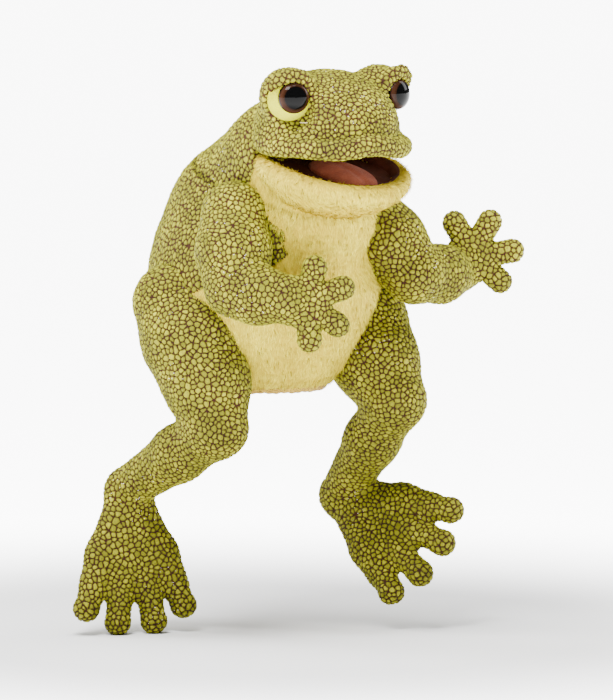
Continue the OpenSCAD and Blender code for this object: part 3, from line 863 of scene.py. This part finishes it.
PANEL_HEIGHTS = (-5, 45, 58, 66, 76, 90, 105, 122, 135, 146, 152)
PANEL_RIGHT = (88, 84, 79, 68, 38, 23, 27, 38, 44, 40, -20)
PANEL_LEFT = (88, 82, 74, 62, 50, 45, 43, 46, 44, 40, -20)


def panel_reach(points):
    """How far inside the front panel's edge a point is, in mm."""
    angle = np.degrees(np.arctan2(points[:, 0], -points[:, 1]))
    low = -np.interp(points[:, 2], PANEL_HEIGHTS, PANEL_RIGHT)
    high = np.interp(points[:, 2], PANEL_HEIGHTS, PANEL_LEFT)
    wobble = 1.2 * np.sin(points[:, 2] * 0.35)
    return np.minimum(angle - low, high - angle) * 1.15 + wobble


def downwards(points):
    """Nap of the body's pile."""
    return np.tile([0.0, 0.0, -1.0], (len(points), 1))


def settle(points):
    """How flat the body's pile lies: 0 is upright, and 1 is flat."""
    return np.full(len(points), 0.80)


def declare(piece, slot, fill, *nodes):
    """Hides the nodes that a soft piece stands for; the piece, what it is made of and how full it is if
    padded are not used.
    """
    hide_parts(*nodes)


def build_trunk():
    """Scale fabric over the back and nape, and pile fabric down the front."""
    points, quads = surface_net(torso_field, (-84, -104, -9), (84, 84, 200), STEP * 1.15)
    points = neighbours_mean(points, quads, 3)
    up = face_value(above(points, NECK, NECK_UP), quads)
    height = face_value(points[:, 2], quads)
    inside = face_value(panel_reach(points), quads)
    flat_bottom = height < -2.2
    front, back = inside > -0.6, inside < 1.4
    made = {}
    scales = pebbled(points, quads, 11, gap=2.4, stretch=((0, 0, 1), 0.8))
    for name, keep in (("body_skin", (up < 2) & back & ~flat_bottom), ("nape_skin", (up > -2) & back)):
        made[name] = scaled_skin(name, quads, keep, *scales)
    for name, keep, seed in (
        ("belly_plush", (up < 2) & front & ~flat_bottom, 21), ("throat_plush", (up > -2) & front, 22),
    ):
        out = part_of(points, quads, keep)
        made[name] = plush_skin(name, out[0], out[1], seed, 1.7, 4.8, settle, downwards)
    for name in ("body_skin", "belly_plush"):
        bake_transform(made[name])
    for name in ("nape_skin", "throat_plush"):
        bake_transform(made[name])
    declare(made["body_skin"], "scale_fabric", 0.8, "back_panel", "body_wadding")
    declare(made["belly_plush"], "belly_plush", 0.8, "belly_panel")
    declare(made["nape_skin"], "scale_fabric", None, "neck_panel")
    declare(made["throat_plush"], "belly_plush", None, "throat_panel")


def build_head():
    points, quads = surface_net(head_field, (-58, -142, 152), (58, -20, 224), STEP)
    points = neighbours_mean(points, quads, 2)
    whole = np.full(len(quads), True)
    head = scaled_skin("head_skin", quads, whole, *pebbled(points, quads, 31, gap=2.45))
    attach(head, "head")
    declare(head, "scale_fabric", 0.9, "head_panel", "head_stuffing", "brow_right", "brow_left", "upper_lip")


def build_jaw():
    points, quads = surface_net(jaw_field, (-60, -142, 100), (60, -40, 160), STEP * 1.2)
    points = neighbours_mean(points, quads, 2)

    def on_lip(p):
        q = jaw_shut(p)
        return np.clip((q[:, 2] - 139) / 8, 0, 1)

    def nap(p):
        out = np.concatenate([p[:, :2] - HEAD_AXIS, np.zeros((len(p), 1))], 1)
        out /= np.maximum(np.linalg.norm(out, axis=1), 1e-6)[:, None]
        return out * 0.7 + np.array([0, 0, -1.0])

    def under_lining(p):
        q = jaw_shut(p)
        inside = np.clip((LIP_RING - np.linalg.norm(q[:, :2] - HEAD_AXIS, axis=1)) / 1.5, 0, 1)
        return 0.9 * inside * np.clip((q[:, 2] - 143) / 2, 0, 1)

    def lie_down(p):
        return 0.82 - 0.1 * on_lip(p)

    jaw = plush_skin("jaw_plush", points, quads, 41, 2.0, 4.6, lie_down, nap, bare=under_lining)
    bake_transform(jaw)
    declare(jaw, "belly_plush", 0.85, "chin_panel", "jaw_stuffing", "lower_lip")


PALATE = 158.6
MOUTH_FLOOR = 149.6
FOLD = -60
LINING_RADIUS = 43.9


def build_mouth():
    """Dark lining of the mouth: the palate, the fold at the back and the floor, as one piece of cloth."""
    across, front, fold, floor = 72, 40, 10, 40
    middle, half = (PALATE + MOUTH_FLOOR) / 2, (PALATE - MOUTH_FLOOR) / 2
    rows = []
    for i in range(across + 1):
        x = -43.5 + 87 * i / across
        edge = math.sqrt(max(LINING_RADIUS ** 2 - x * x, 0.0))
        rim = HEAD_AXIS[1] - edge
        column = []
        for j in range(front + 1):
            t = j / front
            y = rim + (FOLD - rim) * t
            arch = 1.2 * (1 - (x / 44) ** 2) * math.sin(math.pi * min(t * 1.1, 1))
            column.append(np.array([x, y, PALATE + arch]))
        for j in range(1, fold):
            a = math.pi * j / fold
            column.append(np.array([x, FOLD + 5 * math.sin(a), middle + half * math.cos(a)]))
        for j in range(floor + 1):
            t = j / floor
            y = FOLD + (rim - FOLD) * t
            dish = 0.4 * (1 - (x / 44) ** 2) * math.sin(math.pi * min(t * 1.05, 1)) ** 0.7
            from_axis = math.hypot(x, y - HEAD_AXIS[1])
            climb = max(lip_crest(x, from_axis) - MOUTH_FLOOR, 0.0)
            q = np.array([x, y, MOUTH_FLOOR - dish + climb])
            column.append(turn("X", JAW_OPEN) @ (q - JAW_HINGE) + JAW_HINGE)
        rows.append(column)
    per = len(rows[0])
    points = np.array(rows).reshape(-1, 3)
    quads = np.array([
        [i * per + j, (i + 1) * per + j, (i + 1) * per + j + 1, i * per + j + 1]
        for i in range(across) for j in range(per - 1)
    ])
    wrinkle = 0.5 * np.sin(points[:, 0] * 0.45 + 1.7 * np.sin(points[:, 1] * 0.12))
    points = points + normals_of(points, quads) * wrinkle[:, None] * 0.6
    lining = mesh_object("mouth_lining", points, quads, MOUTH)
    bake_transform(lining)
    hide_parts("upper_mouth_lining", "lower_mouth_lining")

    def tongue_field(p):
        q = jaw_shut(p)
        body = ellipsoid(q, (0, -94, 149.5), (19, 30, 6))
        crease = 0.9 * np.exp(-(q[..., 0] / 2.2) ** 2)
        return body + crease
    points, quads = surface_net(tongue_field, (-22, -128, 120), (22, -60, 160), 0.9)
    tongue = mesh_object("tongue_pad", neighbours_mean(points, quads, 2), quads, TONGUE)
    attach(tongue, "jaw")
    declare(tongue, "tongue_velour", 0.5, "tongue")


def revolve(profile, segments, place):
    """Mesh of a turned form; the profile is (radius, height), and place moves its points."""
    points, quads = [], []
    for r, h in profile:
        for s in range(segments):
            a = 2 * math.pi * s / segments
            points.append((r * math.cos(a), r * math.sin(a), h))
    for i in range(len(profile) - 1):
        for s in range(segments):
            n = (s + 1) % segments
            quads.append((i * segments + s, i * segments + n, (i + 1) * segments + n, (i + 1) * segments + s))
    return place(np.array(points, float)), np.array(quads), np.repeat([r for r, _ in profile], segments)


def ball_arc(radius, angles):
    """Profile of a ball by angle from its pole, in degrees."""
    turned = [math.radians(a) for a in angles]
    return [(radius * math.sin(a) + 0.01, radius * math.cos(a)) for a in turned]


def turned_piece(name, profile, segments, axis, centre, material, stands_for):
    """A turned piece of the head, its profile's height running along an axis through its centre."""
    level = np.cross((0, 0, 1), axis)
    level /= np.linalg.norm(level)
    turned = np.stack([level, np.cross(axis, level), axis], 1)
    points, quads, out = revolve(profile, segments, lambda p: p @ turned.T + centre)
    piece = mesh_object(name, points, quads, material, {"out": out / EYE_R})
    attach(piece, "head")
    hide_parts(stands_for)


def build_eyes():
    """Domed eyes with stems, the washers that hold them, and the velour patches behind them."""
    dome = [math.radians(a) for a in range(6, 91, 6)]
    bead = [(0.01, 6.8)] + [(EYE_R * math.sin(a), 0.6 + 6.2 * math.cos(a)) for a in dome]
    bead += [(EYE_R * 0.98, -2.0), (EYE_R * 0.7, -3.5), (2.2, -3.6), (2.2, -13.4), (0.01, -13.5)]
    ring = [(2.3, -12.9), (5.0, -13.2), (7.6, -12.9), (8.0, -12.2), (7.6, -11.6), (5.0, -11.4), (2.3, -11.6)]
    cap = ball_arc(PATCH_R, range(0, 63, 3)) + ball_arc(PATCH_R - 1.2, range(60, -1, -3))
    for side in (RIGHT, LEFT):
        word, axis, centre = WORD[side], eye_axis(side), eye_centre(side)
        turned_piece(f"eye_bead_{word}", bead, 64, axis, centre, IRIS, f"eye_{word}")
        turned_piece(
            f"eye_washer_{word}", ring + ring[:1], 48, axis, centre, PLASTIC, "eye_washers")
        turned_piece(
            f"patch_{word}", cap, 72, patch_axis(side), brow_centre(side), PATCH,
            f"eye_patch_{word}")


def limb_surface(field, at, dirs, tip, low, high, seed, half):
    """A limb's quads, its scales, and which quads lie past the middle of its second section."""
    points, quads = surface_net(field, low, high, STEP)
    points = neighbours_mean(points, quads, 2)
    scales = pebbled(points, quads, seed, stretch=(dirs[1], 1.12))
    middle = at[1] + dirs[1] * half
    to_root = np.minimum(capsule(points, middle, at[1], 0, 0), capsule(points, at[1], at[0], 0, 0))
    to_tip = np.minimum(capsule(points, middle, at[2], 0, 0), capsule(points, at[2], tip, 0, 0))
    far = face_value(to_root - to_tip, quads) > 0
    return quads, scales, far


def build_limbs():
    """Each limb is one skin in two pieces, parted where its middle section stays straight."""
    sorts = (
        # kind, form, sections, room round the root and the third section, reach past the last
        # joint, where the skin parts past the second joint, and half the length of each bend
        ("arm", arm_field, ("upper_arm", "forearm", "hand"), 24, 28, 40, 29.0, 6),
        ("leg", leg_field, ("thigh", "shin", "foot"), 42, 22, 96, 50.0, 8),
    )
    for kind, make, names, fat, thin, reach, half, bend in sorts:
        for side in (RIGHT, LEFT):
            field, at, dirs = make(side)
            tip = at[2] + dirs[2] * reach
            low = np.minimum.reduce([at[0] - fat, at[1] - 28, at[2] - thin, tip - 62])
            high = np.maximum.reduce([at[0] + fat, at[1] + 28, at[2] + thin, tip + 62])
            seed = 50 + 7 * (side + 1) + (kind == "leg") * 3
            end = at[2] + dirs[2] * reach * 0.8
            quads, scales, far = limb_surface(field, at, dirs, end, low, high, seed, half)
            for label, keep, held, joint in (("upper", ~far, names[:2], 1), ("lower", far, names[2:], 2)):
                skin = scaled_skin(f"{kind}_{label}_{WORD[side]}", quads, keep, *scales)
                travel = dirs[joint] + dirs[joint - 1]
                travel = travel / np.linalg.norm(travel) * bend
                start, stop = Vector((at[joint] - travel) * MM), Vector((at[joint] + travel) * MM)
                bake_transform(skin)
                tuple(start)
                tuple(stop)
                nodes = [f"{n}_{WORD[side]}" for name in held for n in (name, f"{name}_stuffing")]
                declare(skin, "scale_fabric", 0.85, *nodes)


def build_opening():
    """Orange-yellow binding round the arm opening, and the cloth tube inside it."""
    segments = 180
    profile = [
        (36.6, -1.0), (36.4, -4.0), (37.2, -5.2), (39.0, -5.8),
        (41.2, -5.4), (42.6, -4.0), (42.9, -1.8), (42.2, 0.6),
    ]
    points, quads, _ = revolve(profile, segments, lambda p: p)
    angle = np.arctan2(points[:, 1], points[:, 0])
    pucker = 0.35 * np.sin(angle * 46) + 0.25 * np.sin(angle * 17 + 1)
    points[:, 2] += pucker
    points[:, :2] *= (1 + 0.006 * np.sin(angle * 31))[:, None]
    hem = mesh_object("opening_hem_binding", points, quads, BINDING)
    mod = hem.modifiers.new("round", "SUBSURF")
    mod.levels = mod.render_levels = 1
    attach(hem, "body")
    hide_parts("opening_hem")
    tube = [(36.5, -1.2), (36.3, 10), (35.9, 30), (36.3, 52), (36.0, 74), (35.4, 92), (33.0, 104), (30, 112)]
    points, quads, _ = revolve(tube, segments, lambda p: p)
    angle = np.arctan2(points[:, 1], points[:, 0])
    points[:, :2] *= (1 + 0.008 * np.sin(angle * 9 + points[:, 2] * 0.05))[:, None]
    lining = mesh_object("arm_lining", points, quads[:, ::-1], LINING)
    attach(lining, "body")
    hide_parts("body_lining", "neck_lining")


build_trunk()
build_head()
build_jaw()
build_mouth()
build_eyes()
build_limbs()
build_opening()

for node_name, made_of in (
    ("upper_mouth_board", BOARD), ("lower_mouth_board", BOARD),
    ("finger_pocket", LINING), ("thumb_pocket", LINING),
):
    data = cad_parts[node_name].data
    data.materials.clear()
    data.materials.append(made_of)

# ---------------------------------------------------------------- studio

FLOOR_Z = -0.1672
FLOOR_GLOW = 9.0
FLOOR_HALF = 30.0
# The floor's glow starts GLOW_STARTS metres from the middle and is full by GLOW_FULL: the unlit floor inside
# is a painted shadow round the feet.
GLOW_STARTS, GLOW_FULL = 0.22, 0.70


def build_floor():
    """A wide pale floor under the frog that glows, except near the frog, where the missing glow paints a soft
    shadow round its feet.
    """
    square = ((-1, -1), (1, -1), (1, 1), (-1, 1))
    corners = np.array([(x * FLOOR_HALF, y * FLOOR_HALF, FLOOR_Z) for x, y in square])
    m = new_material("glow_floor_painted_shadow")
    n = Nodes(m)
    place = n.add("ShaderNodeSeparateXYZ", {"Vector": n.rest()})
    away = n.math("ADD", n.math("POWER", place.outputs[0], 2.0), n.math("POWER", place.outputs[1], 2.0))
    away = n.math("SQRT", away)
    # Glow rises with distance from the frog, so the floor near it stays dark as a painted shadow.
    glow = n.add(
        "ShaderNodeMapRange",
        {"Value": away, "From Min": GLOW_STARTS, "From Max": GLOW_FULL, "To Max": FLOOR_GLOW},
        interpolation_type="SMOOTHSTEP",
    ).outputs[0]
    tone = n.ramp(n.noise(3, 2), [(0.3, (0.84, 0.84, 0.84)), (0.7, (0.86, 0.86, 0.86))])
    shader = n.finish(base=tone, rough=0.9, specular=0.05)
    shader.inputs["Emission Color"].default_value = (1, 1, 1, 1)
    m.node_tree.links.new(glow, shader.inputs["Emission Strength"])
    floor = mesh_object("floor", corners / MM, np.array([[0, 1, 2, 3]]), m)


def area_light(name, place, at, size, power):
    light = bpy.data.lights.new(name, "AREA")
    light.shape = "RECTANGLE"
    light.size, light.size_y = size
    light.energy = power
    obj = bpy.data.objects.new(name, light)
    bpy.context.scene.collection.objects.link(obj)
    obj.location = place
    obj.rotation_mode = "QUATERNION"
    obj.rotation_quaternion = (Vector(at) - Vector(place)).to_track_quat("-Z", "Y")
    return obj


def facing(azimuth, elevation, distance, target=(0.02, -0.02, 0.05)):
    """Place seen from the target at an azimuth from straight ahead of the frog, and an elevation."""
    return Vector(target) + distance * Vector(aim(LEFT, azimuth, elevation))


build_floor()
TARGET = Vector((0.0248, -0.0152, 0.0199))
area_light("key", facing(-60, 55, 1.1), (0.0, -0.03, 0.06), (0.45, 0.35), 24)
area_light("top", facing(-35, 82, 1.1), (0.0, -0.02, 0.04), (0.7, 0.7), 20)
area_light("rim_left", facing(-140, 32, 1.2), (0.0, 0.0, 0.05), (0.4, 0.9), 12)
area_light("rim_right", facing(75, 34, 1.2), (0.0, 0.0, 0.05), (0.4, 0.9), 12)

world = bpy.data.worlds.new("studio")
bpy.context.scene.world = world
world.use_nodes = True
world.node_tree.nodes["Background"].inputs["Color"].default_value = (1, 1, 1, 1)
world.node_tree.nodes["Background"].inputs["Strength"].default_value = 0.30

camera_data = bpy.data.cameras.new("camera")
camera_data.sensor_fit = "HORIZONTAL"
camera_data.sensor_width = 36
camera_data.lens = 440
camera_data.clip_end = 100
camera = bpy.data.objects.new("camera", camera_data)
bpy.context.scene.collection.objects.link(camera)
camera.location = facing(-35, 5, 5.0, TARGET)
camera.rotation_mode = "QUATERNION"
camera.rotation_quaternion = (TARGET - camera.location).to_track_quat("-Z", "Y")
bpy.context.scene.camera = camera
